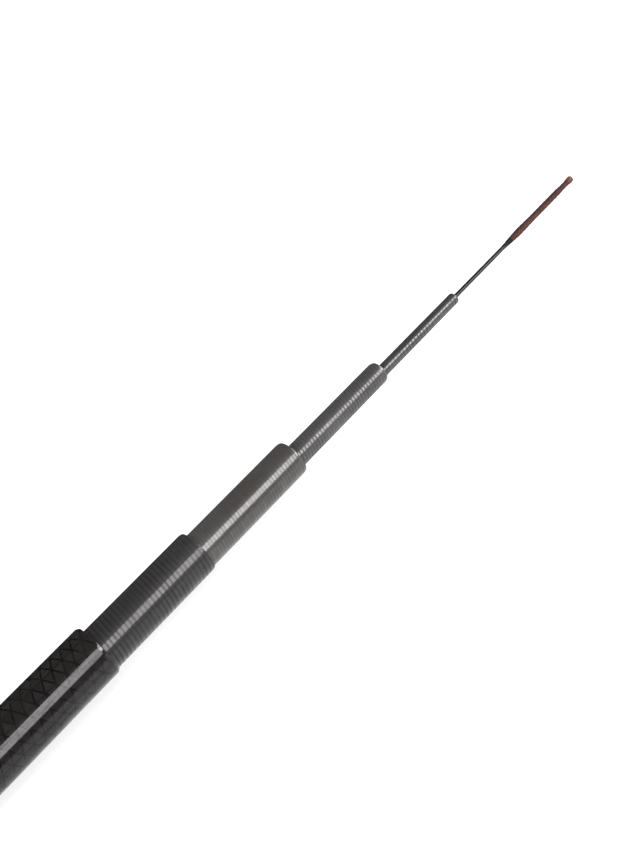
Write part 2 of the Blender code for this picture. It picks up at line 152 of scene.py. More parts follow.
class Tube:
    """The sizes of a hollow section, read from its solid."""

    def __init__(self, node):
        low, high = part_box(node)
        self.base = low.x
        self.mouth = high.x
        self.drop = -(low.z + high.z) / 2
        points, radii = radii_of(node, self.drop)
        at_mouth = radii[points[:, 0] > self.mouth - 0.0015]
        at_base = radii[points[:, 0] < self.base + 0.0010]
        self.mouth_radius = float(at_mouth.max())
        self.base_radius = float(at_base.max())
        self.mouth_bore = float(at_mouth.min())
        self.base_bore = float(at_base.min())
        self.wall = self.mouth_radius - self.mouth_bore
        self.length = self.mouth - self.base

    def outer(self, place):
        """The outside radius at a place along the pole."""
        share = (self.mouth - place) / self.length
        return self.mouth_radius + (self.base_radius - self.mouth_radius) * share

    def bore(self, place):
        """The inside radius: the seat at the mouth has its own wall."""
        base_wall = self.base_radius - self.base_bore
        share = np.clip((self.mouth - place - SEAT_LENGTH) / SEAT_RUNOUT, 0, 1)
        return self.outer(place) - (self.wall + share * (base_wall - self.wall))


def centre_drop(node):
    """How far the axis of a round solid lies below the pole's own axis."""
    low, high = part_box(node)
    return -(low.z + high.z) / 2


# ---------------------------------------------------------------- mesh helpers


def link(name, mesh, materials):
    """Puts the mesh in the scene as an object with its materials."""
    obj = bpy.data.objects.new(name, mesh)
    bpy.context.scene.collection.objects.link(obj)
    for finish in materials:
        mesh.materials.append(finish)
    return obj


def grid_piece(name, grid, materials, closed=True, sharp=40, inside_rows=()):
    """A skin over a grid of points, round in its second direction, and in the first one where closed."""
    rows, columns, _ = grid.shape
    index = np.arange(rows * columns).reshape(rows, columns)
    beside = np.roll(index, -1, axis=1)
    upper, upper_beside = np.roll(index, -1, axis=0), np.roll(beside, -1, axis=0)
    last = rows if closed else rows - 1
    faces = np.stack([index, beside, upper_beside, upper], axis=-1)[:last].reshape(-1, 4)
    mesh = bpy.data.meshes.new(name)
    mesh.from_pydata(grid.reshape(-1, 3).tolist(), [], faces.tolist())
    if len(inside_rows):
        slots = np.zeros((last, columns), dtype=np.int32)
        slots[list(inside_rows)] = 1
        mesh.polygons.foreach_set("material_index", slots.ravel())
    tidy(mesh)
    mesh.shade_smooth()
    mesh.set_sharp_from_angle(angle=math.radians(sharp))
    return link(name, mesh, materials)


def tidy(mesh):
    """Joins points that coincide, drops empty faces and turns all faces outwards."""
    shape = bmesh.new()
    shape.from_mesh(mesh)
    bmesh.ops.remove_doubles(shape, verts=shape.verts, dist=1e-7)
    bmesh.ops.dissolve_degenerate(shape, edges=shape.edges, dist=1e-8)
    bmesh.ops.recalc_face_normals(shape, faces=shape.faces)
    shape.to_mesh(mesh)
    shape.free()


def turned(name, stations, segments, drop, materials, relief=None, closed=True, sharp=40, inside_rows=()):
    """A turned skin about the pole's axis.

    stations are (place, radius), and relief(place, turn) adds to the radius.
    """
    place, radius = (column[:, None] for column in np.array(stations, dtype=float).T)
    turn = (np.arange(segments) * TURN / segments)[None, :]
    size = radius + (relief(place, turn) if relief else np.zeros_like(turn))
    along, size = np.broadcast_arrays(place, np.where(radius > 0, size, 0.0))
    grid = np.stack([along, size * np.cos(turn), size * np.sin(turn) - drop], axis=-1)
    return grid_piece(name, grid, materials, closed, sharp, inside_rows)


def smooth(share):
    """share eased from 0 to 1."""
    share = np.clip(share, 0.0, 1.0)
    return share * share * (3 - 2 * share)


def place_on(obj, body, slot, *nodes):
    """The piece rides on its body and stands for its solids, which it hides. The slot is not used."""
    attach(obj, body)
    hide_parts(*nodes)


# ---------------------------------------------------------------- node helpers


class Finish:
    """A node material with its Principled shader, and short calls for the nodes that feed it."""

    def __init__(self, name, roughness=0.5, metallic=0.0, specular=0.5, coat=0.0, coat_roughness=0.03):
        self.material = bpy.data.materials.new(name)
        self.material.use_nodes = True
        self.tree = self.material.node_tree
        self.shader = self.tree.nodes["Principled BSDF"]
        self.shader.inputs["Roughness"].default_value = roughness
        self.shader.inputs["Metallic"].default_value = metallic
        self.shader.inputs["Specular IOR Level"].default_value = specular
        self.shader.inputs["Coat Weight"].default_value = coat
        self.shader.inputs["Coat Roughness"].default_value = coat_roughness
        self.where = self.node("TexCoord").outputs["Object"]

    def feed(self, socket, value):
        """Links a socket, or writes a plain value."""
        if isinstance(value, bpy.types.NodeSocket):
            self.tree.links.new(value, socket)
        elif value is not None:
            socket.default_value = value

    def node(self, kind, inputs=None, **settings):
        """A new node with its settings, fed by values or sockets."""
        made = self.tree.nodes.new("ShaderNode" + kind)
        for key, value in settings.items():
            setattr(made, key, value)
        for key, value in (inputs or {}).items():
            self.feed(made.inputs[key], value)
        return made

    def math(self, operation, first, second=None, third=None):
        return self.node("Math", {0: first, 1: second, 2: third}, operation=operation).outputs[0]

    def ramp(self, value, low, high, start=0.0, end=1.0):
        """value from low to high, eased to start to end."""
        inputs = {"Value": value, "From Min": low, "From Max": high, "To Min": start, "To Max": end}
        return self.node("MapRange", inputs, interpolation_type="SMOOTHSTEP").outputs[0]

    def mix(self, share, first, second):
        return self.node("Mix", {0: share, 6: first, 7: second}, data_type="RGBA").outputs[2]

    def noise(self, scale, detail, stretch=(1, 1, 1)):
        vector = self.node("VectorMath", {0: self.where, 1: stretch}, operation="MULTIPLY").outputs[0]
        return self.node("TexNoise", {"Vector": vector, "Scale": scale, "Detail": detail}).outputs[0]

    def random(self, x, y, z=0.0):
        """A value from 0 to 1 for each cell."""
        cell = self.node("CombineXYZ", {0: x, 1: y, 2: z}).outputs[0]
        return self.node("TexWhiteNoise", {"Vector": cell}, noise_dimensions="3D").outputs[0]

    def along_and_round(self, drop):
        """Sockets with the place along the pole and the share of a turn round it."""
        parts = self.node("SeparateXYZ", {0: self.where}).outputs
        height = self.math("ADD", parts[2], drop)
        turn = self.math("ARCTAN2", height, parts[1])
        return parts[0], self.math("DIVIDE", turn, TURN)

    def line(self, phase, half_width, soft):
        """1 on the whole numbers of phase, and 0 away from them."""
        off = self.math("ABSOLUTE", self.math("SUBTRACT", self.math("FRACT", phase), 0.5))
        return self.ramp(off, 0.5 - half_width - soft, 0.5 - half_width)

    def color(self, value):
        self.feed(self.shader.inputs["Base Color"], value)

    def rough(self, value):
        self.feed(self.shader.inputs["Roughness"], value)

    def bump(self, height, distance, strength=1.0):
        """Raises the surface, and its clear coat where it has one."""
        made = self.node("Bump", {"Height": height, "Distance": distance, "Strength": strength})
        self.feed(self.shader.inputs["Normal"], made.outputs[0])
        if self.shader.inputs["Coat Weight"].default_value > 0:
            self.feed(self.shader.inputs["Coat Normal"], made.outputs[0])


def rgba(color, gain=1.0):
    """The colour for a socket, made lighter or darker by gain."""
    return (color[0] * gain, color[1] * gain, color[2] * gain, 1.0)


# ---------------------------------------------------------------- settings


def color_setting(name, description, default):
    return FloatVectorProperty(
        name=name, description=description, subtype="COLOR", size=3, min=0.0, max=1.0, default=default
    )


def length_setting(name, description, default):
    return FloatProperty(
        name=name, description=description, unit="LENGTH", subtype="DISTANCE", precision=5, default=default
    )


class StageSettings(bpy.types.PropertyGroup):
    """The studio round the pole."""

    strip_radiance: FloatProperty(
        name="Strip light", description="Brightness of the long strip that shows in the gloss", default=6.0
    )
    end_radiance: FloatProperty(
        name="End light", description="Brightness of the panel that shows in the mouths' lips", default=10.0
    )
    soft_radiance: FloatProperty(
        name="Soft box", description="Brightness of the wide box that lights the matt colours", default=0.85
    )
    back_radiance: FloatProperty(
        name="Back box",
        description="Brightness of the low box behind the pole, for the matt colours",
        default=1.7,
    )
    ambient: FloatProperty(
        name="Ambient", description="Even light from all sides on matt surfaces", default=0.35
    )
    floor_color: color_setting("Floor", "Colour of the floor", (0.85, 0.85, 0.85))


class ButtSettings(bpy.types.PropertyGroup):
    """The cross-wrapped butt section."""

    lattice_pitch: length_setting("Lattice pitch", "Step of the crossing wraps along the butt", 0.00372)
    lattice_cells: IntProperty(name="Cells round", description="Crossings in one turn", default=7)
    lattice_width: length_setting("Wrap gap", "Width of the dark gap between wraps", 0.00036)
    field: color_setting("Field", "Carbon between the wrap lines", (0.0290, 0.0252, 0.0245))
    gap: color_setting("Gap", "Dark wrap lines", (0.0062, 0.0054, 0.0054))


class SectionSettings(bpy.types.PropertyGroup):
    """The four ribbed sections, from the second one to the fifth."""

    rib_depth: length_setting("Rib depth", "Depth of the grooves between the ribs", 0.000014)
    ribbed_length: length_setting("Ribbed length", "Length behind each mouth with ribs as shape", 0.052)
    pitches: FloatVectorProperty(
        name="Rib pitches",
        description="Step of the ribs along sections 2 to 5",
        unit="LENGTH",
        size=4,
        precision=5,
        default=(0.00148, 0.00115, 0.00121, 0.00146),
    )
    color_2: color_setting("Section 2", "Finish of the second section", (0.0455, 0.0430, 0.0440))
    color_3: color_setting("Section 3", "Finish of the third section", (0.0960, 0.0880, 0.0825))
    color_4: color_setting("Section 4", "Finish of the fourth section", (0.105, 0.101, 0.100))
    color_5: color_setting("Section 5", "Finish of the fifth section", (0.066, 0.066, 0.068))


class TipSettings(bpy.types.PropertyGroup):
    """The solid tip and the whipped neck on its end."""

    color: color_setting("Tip", "Varnished solid tip", (0.008, 0.008, 0.008))
    neck: color_setting("Neck", "Varnished thread over the tip's end", (0.003, 0.003, 0.003))
    thread: length_setting("Neck thread", "Thickness of the neck's thread", 0.00012)


class BraidSettings(bpy.types.PropertyGroup):
    """The braided line connector."""

    strands: IntProperty(
        name="Strands", description="Strands in the braid, half of them each way", default=16
    )
    lay: length_setting("Lay", "Length in which a strand goes once round", 0.0072)
    color: color_setting("Braid", "Dull red-brown nylon", (0.168, 0.070, 0.057))
    sealed: color_setting("Sealed end", "Lighter melted end", (0.270, 0.115, 0.075))


class CapSettings(bpy.types.PropertyGroup):
    """The screw cap with its pad, the washer and the threaded insert."""

    metal: color_setting("Metal", "Black anodised aluminium", (0.045, 0.045, 0.050))
    thread_pitch: length_setting("Thread pitch", "Travel of the cap in one turn", 0.002)
    thread_depth: length_setting("Thread depth", "Depth of the cap's thread", 0.0003)
    rubber: color_setting("Washer", "Black rubber", (0.020, 0.020, 0.020))
    foam: color_setting("Pad", "Dark grey foam", (0.090, 0.090, 0.090))


# ---------------------------------------------------------------- stage


def floor_finish(settings):
    """White to the camera with the pole's shadow on it, plain to light, and glowing strips beside the pole in
    gloss: a painted reflection.
    """
    finish = Finish("studio_floor", roughness=0.9)
    tree = finish.tree
    tree.nodes.remove(finish.shader)
    path = finish.node("LightPath")
    out = tree.nodes["Material Output"]
    plain = finish.node("BsdfDiffuse", {"Color": rgba(settings.floor_color)})
    place = finish.node("SeparateXYZ", {0: finish.where}).outputs
    away = finish.ramp(finish.math("ABSOLUTE", place[1]), *FLOOR_WHITES_AT, *FLOOR_WHITES)
    white = finish.node("Emission", {"Color": rgba(WHITE), "Strength": away})
    shaded = finish.node("BsdfDiffuse", {"Color": rgba(FLOOR_SHADED)})
    seen = finish.node("AddShader", {0: white.outputs[0], 1: shaded.outputs[0]})
    seen_too = finish.math("MAXIMUM", path.outputs["Is Camera Ray"], path.outputs["Is Transmission Ray"])
    basic = finish.node("MixShader", {0: seen_too, 1: plain.outputs[0], 2: seen.outputs[0]})
    # Painted reflection: strips beside the pole glow for glossy rays only
    painted_reflection = GLOSS_DARK
    for rise, fall in GLOSS_STRIPS:
        strip = finish.math("MULTIPLY", finish.ramp(place[1], *rise), finish.ramp(place[1], *fall, 1.0, 0.0))
        painted_reflection = finish.math("MULTIPLY_ADD", strip, GLOSS_STRIP, painted_reflection)
    gloss = finish.node("Emission", {"Color": rgba(WHITE), "Strength": painted_reflection})
    in_gloss = path.outputs["Is Glossy Ray"]
    whole = finish.node("MixShader", {0: in_gloss, 1: basic.outputs[0], 2: gloss.outputs[0]})
    tree.links.new(whole.outputs[0], out.inputs["Surface"])
    return finish.material


def studio_world(settings):
    """White to the camera, even light on matt colours and nearly dark in gloss."""
    world = bpy.data.worlds.new("studio")
    bpy.context.scene.world = world
    world.use_nodes = True
    tree = world.node_tree
    tree.nodes.clear()
    path = tree.nodes.new("ShaderNodeLightPath")
    seen = tree.nodes.new("ShaderNodeMath")
    seen.operation = "MAXIMUM"
    tree.links.new(path.outputs["Is Camera Ray"], seen.inputs[0])
    tree.links.new(path.outputs["Is Transmission Ray"], seen.inputs[1])
    shades = []
    for strength in (settings.ambient, 1.0, WORLD_IN_GLOSS):
        shade = tree.nodes.new("ShaderNodeBackground")
        shade.inputs["Color"].default_value = rgba(WHITE)
        shade.inputs["Strength"].default_value = strength
        shades.append(shade.outputs[0])
    basic = tree.nodes.new("ShaderNodeMixShader")
    whole = tree.nodes.new("ShaderNodeMixShader")
    tree.links.new(seen.outputs[0], basic.inputs[0])
    tree.links.new(shades[0], basic.inputs[1])
    tree.links.new(shades[1], basic.inputs[2])
    tree.links.new(path.outputs["Is Glossy Ray"], whole.inputs[0])
    tree.links.new(basic.outputs[0], whole.inputs[1])
    tree.links.new(shades[2], whole.inputs[2])
    out = tree.nodes.new("ShaderNodeOutputWorld")
    tree.links.new(whole.outputs[0], out.inputs[0])


def photo_camera():
    """The camera that sees the pole as the photograph does."""
    yaw, pitch, roll = CAMERA_YAW, CAMERA_PITCH, CAMERA_ROLL
    forward = Vector((math.sin(yaw) * math.cos(pitch), math.cos(yaw) * math.cos(pitch), math.sin(pitch)))
    level = Vector((math.cos(yaw), -math.sin(yaw), 0.0))
    up = level.cross(forward)
    right = math.cos(roll) * level + math.sin(roll) * up
    top = right.cross(forward)
    data = bpy.data.cameras.new("photo_camera")
    data.sensor_width = SENSOR
    data.lens = CAMERA_FOCAL_PIXELS * SENSOR / FRAME_HEIGHT
    data.clip_start = 0.01
    data.clip_end = 50.0
    camera = bpy.data.objects.new("photo_camera", data)
    turn = Matrix((right, top, -forward)).transposed()
    camera.matrix_world = Matrix.Translation(CAMERA_PLACE) @ turn.to_4x4()
    bpy.context.scene.collection.objects.link(camera)
    bpy.context.scene.camera = camera


def panel_light(name, centre, size, radiance, in_gloss):
    """A panel that faces the pole's middle, and either shows in the gloss or lights the matt colours."""
    data = bpy.data.lights.new(name, "AREA")
    data.shape = "RECTANGLE"
    data.size, data.size_y = size
    data.energy = radiance * math.pi * size[0] * size[1]
    data.color = GLOSS_TINT if in_gloss else WHITE
    lamp = bpy.data.objects.new(name, data)
    lamp.location = centre
    lamp.rotation_euler = (Vector(LIT_PLACE) - Vector(centre)).to_track_quat("-Z", "Y").to_euler()
    lamp.visible_camera = False
    lamp.visible_glossy = in_gloss
    lamp.visible_diffuse = not in_gloss
    bpy.context.scene.collection.objects.link(lamp)


class POLE_OT_stage(bpy.types.Operator):
    """Lays the floor, lights the studio and sets the camera"""

    bl_idname = "hand_pole.stage"
    bl_label = "Studio"

    def execute(self, context):
        settings = context.scene.hand_pole_stage
        low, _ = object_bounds()
        around = ((-1, -1), (1, -1), (1, 1), (-1, 1))
        grid = [(x * FLOOR_HALF, y * FLOOR_HALF, low.z) for x, y in around]
        mesh = bpy.data.meshes.new("floor")
        mesh.from_pydata(grid, [], [(0, 1, 2, 3)])
        link("floor", mesh, [floor_finish(settings)])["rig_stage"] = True
        studio_world(settings)
        photo_camera()
        panel_light("strip_light", *STRIP_LIGHT, settings.strip_radiance, True)
        panel_light("end_light", *END_LIGHT, settings.end_radiance, True)
        panel_light("soft_box", *SOFT_BOX, settings.soft_radiance, False)
        panel_light("back_box", *BACK_BOX, settings.back_radiance, False)
        context.scene.view_settings.view_transform = "Standard"
        return {"FINISHED"}


# ---------------------------------------------------------------- braided connector

# The route and the widths of the connector, as the solid has them: (place along it, diameter)
BRAID_LENGTH = 0.0348
BRAID_WIDTHS = (
    (0.0, 0.00217),
    (0.0046, 0.00255),
    (0.0128, 0.00229),
    (0.02695, 0.00229),
    (0.02945, 0.00203),
    (0.0319, 0.00203),
    (0.0338, 0.00247),
    (0.0348, 0.00229),
)

# The melted end and its lumps, and how far the core stays under the outside and short of the end
SEALED_LENGTH = 0.0024
SEALED_RUN = 0.0008
SEALED_LUMP = 0.000022
SEALED_SINK = 0.00002
CORE_DEPTH = 0.00016
CORE_END_GAP = 0.0003

# The strands: points round each and from crossing to crossing, the share covered, depth under the outside
STRAND_SIDES = 6
STRAND_POINTS = 8
STRAND_COVER = 0.92
STRAND_DEPTH = 0.00013
STRAND_WEAVE = 0.00005
STRAND_HALF_THICK = 0.00008

# The braid's colour is darkened on its upper side, which faces this way round the pole: painted shade
SHADED_SIDE_TURN = math.radians(70)


def braid_radius(place):
    """The connector's radius at a place along it."""
    places, widths = np.array(BRAID_WIDTHS).T
    place = np.clip(place, 0.0, BRAID_LENGTH)
    step = np.clip(np.searchsorted(places, place, side="right") - 1, 0, len(places) - 2)
    share = smooth((place - places[step]) / (places[step + 1] - places[step]))
    return (widths[step] + (widths[step + 1] - widths[step]) * share) / 2


def braid_finish(settings, drop):
    """Dull nylon with patches, fibres and an upper side darkened in its colour as painted shade."""
    finish = Finish("red_brown_braid", roughness=0.75, specular=0.15)
    finish.shader.inputs["Sheen Weight"].default_value = 0.08
    finish.shader.inputs["Sheen Roughness"].default_value = 0.5
    base = rgba(settings.color)
    patches = finish.ramp(finish.noise(620, 3), 0.36, 0.62)
    fibres = finish.noise(4200, 3, stretch=(0.25, 1, 1))
    soil = finish.ramp(finish.noise(310, 2), 0.42, 0.62)
    _, turn = finish.along_and_round(drop)
    toward_shaded_side = finish.math("COSINE", finish.math("MULTIPLY_ADD", turn, TURN, -SHADED_SIDE_TURN))
    red = (settings.color[0] * 1.18, settings.color[1] * 0.92, settings.color[2] * 0.90)
    tone = finish.mix(patches, rgba(settings.color, 0.62), base)
    tone = finish.mix(finish.math("MULTIPLY", soil, 0.7), tone, rgba(red))
    # Painted shade: the colour turns nearly black towards the braid's upper side
    tone = finish.mix(finish.ramp(toward_shaded_side, 0.10, 0.85, 0.0, 0.96), tone, rgba(settings.color, 0.08))
    finish.color(finish.mix(finish.ramp(fibres, 0.35, 0.75, 0.0, 0.55), tone, rgba(settings.color, 1.35)))
    finish.rough(finish.ramp(fibres, 0.2, 0.8, 0.62, 0.88))
    finish.bump(fibres, 0.00003, 0.8)
    return finish.material


def sealed_finish(settings):
    """Blotchy nylon that was melted."""
    finish = Finish("melted_nylon", roughness=0.45, specular=0.25)
    blotch = finish.noise(1300, 3)
    tone = finish.mix(finish.ramp(blotch, 0.35, 0.65), rgba(settings.sealed, 0.70), rgba(settings.sealed))
    finish.color(tone)
    finish.rough(finish.ramp(blotch, 0.2, 0.8, 0.35, 0.60))
    finish.bump(blotch, 0.00005, 0.6)
    return finish.material


def braid_strands(start, drop, settings, finish):
    """Flat strands that cross over and under each other round the core."""
    count = settings.strands // 2
    end = BRAID_LENGTH - SEALED_LENGTH * 0.6
    steps = int(round(end / settings.lay * count * STRAND_POINTS))
    along = np.linspace(0.0, end, steps)
    verts, faces = [], []
    for way in (1, -1):
        for strand in range(count):
            beside_by = 0.25 if way > 0 else 0.0
            angle = way * TURN * along / settings.lay + TURN * (strand + beside_by) / count
            weave = way * np.cos(count * TURN * along / settings.lay + (0.0 if strand % 2 else math.pi))
            core = braid_radius(along)
            width = STRAND_COVER * TURN * core / count / 4
            lift = core - STRAND_DEPTH + STRAND_WEAVE * weave
            ring = np.arange(STRAND_SIDES) * TURN / STRAND_SIDES
            slope = np.arctan2(TURN * core * way, settings.lay)
            across = width[:, None] * np.cos(ring)[None, :]
            high = STRAND_HALF_THICK * np.sin(ring)[None, :] + lift[:, None]
            round_by = across * np.cos(slope)[:, None] / core[:, None]
            x = start + along[:, None] - across * np.sin(slope)[:, None]
            turn = angle[:, None] + round_by
            grid = np.stack([x, high * np.cos(turn), high * np.sin(turn) - drop], axis=-1)
            first = len(verts)
            verts.extend(grid.reshape(-1, 3).tolist())
            index = first + np.arange(steps * STRAND_SIDES).reshape(steps, STRAND_SIDES)
            beside = np.roll(index, -1, axis=1)
            quads = np.stack([index[:-1], beside[:-1], beside[1:], index[1:]], axis=-1)
            faces.extend(quads.reshape(-1, 4).tolist())
            faces.append(index[0][::-1].tolist())
            faces.append(index[-1].tolist())
    mesh = bpy.data.meshes.new("braid_strands")
    mesh.from_pydata(verts, [], faces)
    tidy(mesh)
    mesh.shade_smooth()
    return link("braid_strands", mesh, [finish])


class POLE_OT_connector(bpy.types.Operator):
    """Braids the line connector on the tip's end"""

    bl_idname = "hand_pole.connector"
    bl_label = "Line connector"

    def execute(self, context):
        settings = context.scene.hand_pole_braid
        low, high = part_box("connector_braid")
        start, drop = low.x, centre_drop("connector_braid")
        finish = braid_finish(settings, drop)
        along = np.linspace(0.0, BRAID_LENGTH - CORE_END_GAP, 90)
        core = [(start + s, braid_radius(s) - CORE_DEPTH) for s in along]
        core = [(start, 0.0)] + core + [(core[-1][0], 0.0)]
        sleeve = turned("braid_core", core, 24, drop, [finish], closed=False)
        strands = braid_strands(start, drop, settings, finish)
        melted = np.linspace(BRAID_LENGTH - SEALED_LENGTH, BRAID_LENGTH, 14)
        skin = [(start + s, braid_radius(s)) for s in melted]
        skin[0] = (skin[0][0], skin[0][1] - 0.0002)
        skin[-1] = (skin[-1][0], skin[-1][1] - 0.00012)
        skin = [(skin[0][0], 0.0)] + skin + [(skin[-1][0], 0.0)]

        def lumps(place, turn):
            share = smooth((place - start - BRAID_LENGTH + SEALED_LENGTH) / SEALED_RUN)
            wave = np.sin(5 * turn + 900 * place) + 0.6 * np.sin(3 * turn - 2600 * place + 1.0)
            return np.minimum(SEALED_LUMP * share * wave - SEALED_SINK, 0.0)

        nylon = sealed_finish(settings)
        end = turned("braid_sealed_end", skin, 32, drop, [nylon], relief=lumps, closed=False, sharp=60)
        place_on(sleeve, "tip", "braid_red_brown", "connector_braid")
        place_on(strands, "tip", "braid_red_brown", "connector_braid")
        place_on(end, "tip", "braid_red_brown", "connector_braid")
        return {"FINISHED"}


# ---------------------------------------------------------------- blanks


def bore_finish(name, color):
    """Bare rolled carbon inside a section."""
    finish = Finish(name, roughness=0.55, specular=0.4)
    streaks = finish.noise(240, 4, stretch=(0.05, 1, 1))
    finish.color(finish.mix(finish.ramp(streaks, 0.3, 0.7), rgba(color, 0.6), rgba(color, 1.3)))
    finish.rough(finish.ramp(streaks, 0.2, 0.8, 0.48, 0.66))
    finish.bump(streaks, 0.00002, 0.5)
    return finish.material


def lip_stations(tube, lip, points=9):
    """A lip between a round and a flat chamfer, from the outside to the bore."""
    stations = []
    for step in range(points + 1):
        angle = 0.5 * math.pi * step / points
        along = math.sin(angle)
        down = lip["flat"] * along + (1 - lip["flat"]) * (1 - math.cos(angle))
        place = tube.mouth - lip["length"] * (1 - along)
        stations.append((place, tube.outer(tube.mouth - lip["length"]) - lip["depth"] * down))
    return stations


def tube_stations(tube, outer_places, lip):
    """The whole profile of a section, outside first, and the number of its outside rows."""
    stations = [(tube.base + BASE_CHAMFER, tube.outer(tube.base + BASE_CHAMFER))]
    stations += [(place, tube.outer(place)) for place in outer_places]
    stations += lip_stations(tube, lip)
    outside = len(stations)
    inner_lip = INNER_LIP_SHARE * tube.wall
    stations.append((tube.mouth, tube.mouth_bore + inner_lip))
    stations.append((tube.mouth - inner_lip, tube.mouth_bore))
    stations.append((tube.mouth - 0.004, tube.mouth_bore))
    stations.append((tube.mouth - SEAT_LENGTH, float(tube.bore(tube.mouth - SEAT_LENGTH))))
    seat_end = tube.mouth - SEAT_LENGTH - SEAT_RUNOUT
    stations.append((seat_end, float(tube.bore(seat_end))))
    stations.append((tube.base + BASE_CHAMFER, tube.base_bore))
    stations.append((tube.base, tube.base_bore + BASE_CHAMFER))
    stations.append((tube.base, tube.base_radius - BASE_CHAMFER))
    return stations, outside


# A crossing of the butt's wraps: its place along the pole and its share of a turn
LATTICE_PLACE = 0.62429
LATTICE_TURN = 138.6 / 360


def butt_finish(settings, drop):
    """Dark carbon under a smooth clear coat, crossed by two wraps and lines along the tube."""
    finish = Finish("cross_wrapped_carbon", roughness=0.42, specular=0.05, coat=1.0, coat_roughness=0.04)
    along, turn = finish.along_and_round(drop)
    u = finish.math("DIVIDE", finish.math("SUBTRACT", along, LATTICE_PLACE), settings.lattice_pitch)
    cells = float(settings.lattice_cells)
    v = finish.math("MULTIPLY_ADD", turn, cells, -LATTICE_TURN * cells)
    wander = finish.math("MULTIPLY_ADD", finish.noise(160, 2), 0.10, -0.05)
    v = finish.math("ADD", v, wander)
    rising, falling = finish.math("ADD", u, v), finish.math("SUBTRACT", u, v)
    lengthwise = finish.math("MULTIPLY", v, 2.0)
    half = settings.lattice_width / settings.lattice_pitch * 0.55
    first = finish.line(rising, half, half * 0.8)
    second = finish.line(falling, half, half * 0.8)
    third = finish.math("MULTIPLY", finish.line(lengthwise, half * 0.8, half), 0.50)
    gaps = finish.math("MAXIMUM", finish.math("MAXIMUM", first, second), third)
    gaps = finish.math("MULTIPLY", gaps, finish.ramp(finish.noise(210, 3), 0.34, 0.60, 0.45, 1.0))
    cell = finish.random(
        finish.math("FLOOR", rising), finish.math("FLOOR", falling), finish.math("FLOOR", lengthwise)
    )
    fibres = finish.noise(900, 3, stretch=(0.08, 1, 1))
    field = finish.mix(cell, rgba(settings.field, 0.78), rgba(settings.field, 1.22))
    darker = finish.mix(0.5, field, rgba(settings.field, 0.7))
    field = finish.mix(finish.ramp(fibres, 0.3, 0.7), darker, field)
    finish.color(finish.mix(gaps, field, rgba(settings.gap)))
    finish.rough(finish.ramp(finish.noise(60, 4), 0.3, 0.7, 0.34, 0.50))
    rub = finish.noise(2600, 2, stretch=(0.01, 1, 1))
    coat = finish.math("SUBTRACT", 1.0, finish.ramp(rub, 0.40, 0.62, 0.0, 0.34))
    coat = finish.math("SUBTRACT", coat, finish.ramp(finish.noise(520, 3), 0.42, 0.66, 0.0, 0.22))
    finish.feed(finish.shader.inputs["Coat Weight"], finish.math("MULTIPLY_ADD", gaps, -0.05, coat))
    height = finish.math("MULTIPLY_ADD", gaps, -0.20, finish.math("MULTIPLY", rub, 0.12))
    finish.bump(height, 0.000012, 1.0)
    return finish.material


def ribbed_finish(name, color, tube, pitch, starts, shade):
    """Grey paint over taped ribs: grooves darkened in colour as painted shade, uneven ribs, rub marks and a
    duller cut lip.
    """
    finish = Finish(name, roughness=0.40, specular=shade["specular"], coat=1.0, coat_roughness=0.05)
    finish.shader.inputs["Coat IOR"].default_value = shade["coat_ior"]
    along, turn = finish.along_and_round(tube.drop)
    phase = finish.math("MULTIPLY_ADD", turn, float(starts), finish.math("DIVIDE", along, pitch))
    groove = finish.line(phase, 0.09, 0.20)
    uneven = finish.ramp(finish.noise(75, 3, stretch=(1, 0.5, 0.5)), 0.36, 0.62, 0.50, 1.0)
    groove = finish.math("MULTIPLY", groove, uneven)
    rib = finish.random(finish.math("FLOOR", phase), 3.0)
    slow = finish.noise(28, 3)
    mottle = finish.ramp(finish.noise(420, 3), 0.35, 0.65)
    warm = (color[0] * 1.05, color[1], color[2] * 0.93)
    cool = (color[0] * 0.94, color[1], color[2] * 1.05)
    tone = finish.mix(finish.ramp(finish.noise(90, 2), 0.35, 0.65), rgba(warm), rgba(cool))
    tone = finish.mix(rib, tone, rgba(color, 0.86))
    tone = finish.mix(finish.ramp(slow, 0.3, 0.75), tone, rgba(color, 1.14))
    rub = finish.ramp(finish.noise(1900, 3, stretch=(0.012, 1, 1)), 0.62, 0.80)
    tone = finish.mix(finish.math("MULTIPLY", mottle, 0.5), tone, rgba(color, 0.80))
    tone = finish.mix(finish.math("MULTIPLY", rub, 0.35), tone, rgba(color, 1.7))
    # Painted shade: the colour darkens in the grooves between the ribs
    finish.color(finish.mix(finish.math("MULTIPLY", groove, shade["groove_shade"]), tone, rgba(color, 0.25)))
    finish.rough(finish.ramp(slow, 0.3, 0.7, 0.34, 0.48))
    coat = finish.math("MULTIPLY_ADD", rib, -0.20, 1.0)
    coat = finish.math("MULTIPLY_ADD", mottle, -0.12, coat)
    coat = finish.math("MAXIMUM", finish.math("MULTIPLY_ADD", groove, -shade["groove_dull"], coat), 0.0)
    cut = finish.ramp(along, tube.mouth - CUT_LIP, tube.mouth - CUT_LIP + 0.0002, 1.0, 0.40)
    finish.feed(finish.shader.inputs["Coat Weight"], finish.math("MULTIPLY", coat, cut))
    height = finish.math("MULTIPLY_ADD", groove, -1.0, finish.math("MULTIPLY", rub, 0.05))
    finish.bump(height, shade["bump"])
    return finish.material


# The butt's lip, and the length at the other mouths where the cut has dulled the coat
BUTT_LIP = {"length": 0.0010, "depth": 0.00062, "flat": 0.92}
CUT_LIP = 0.0006


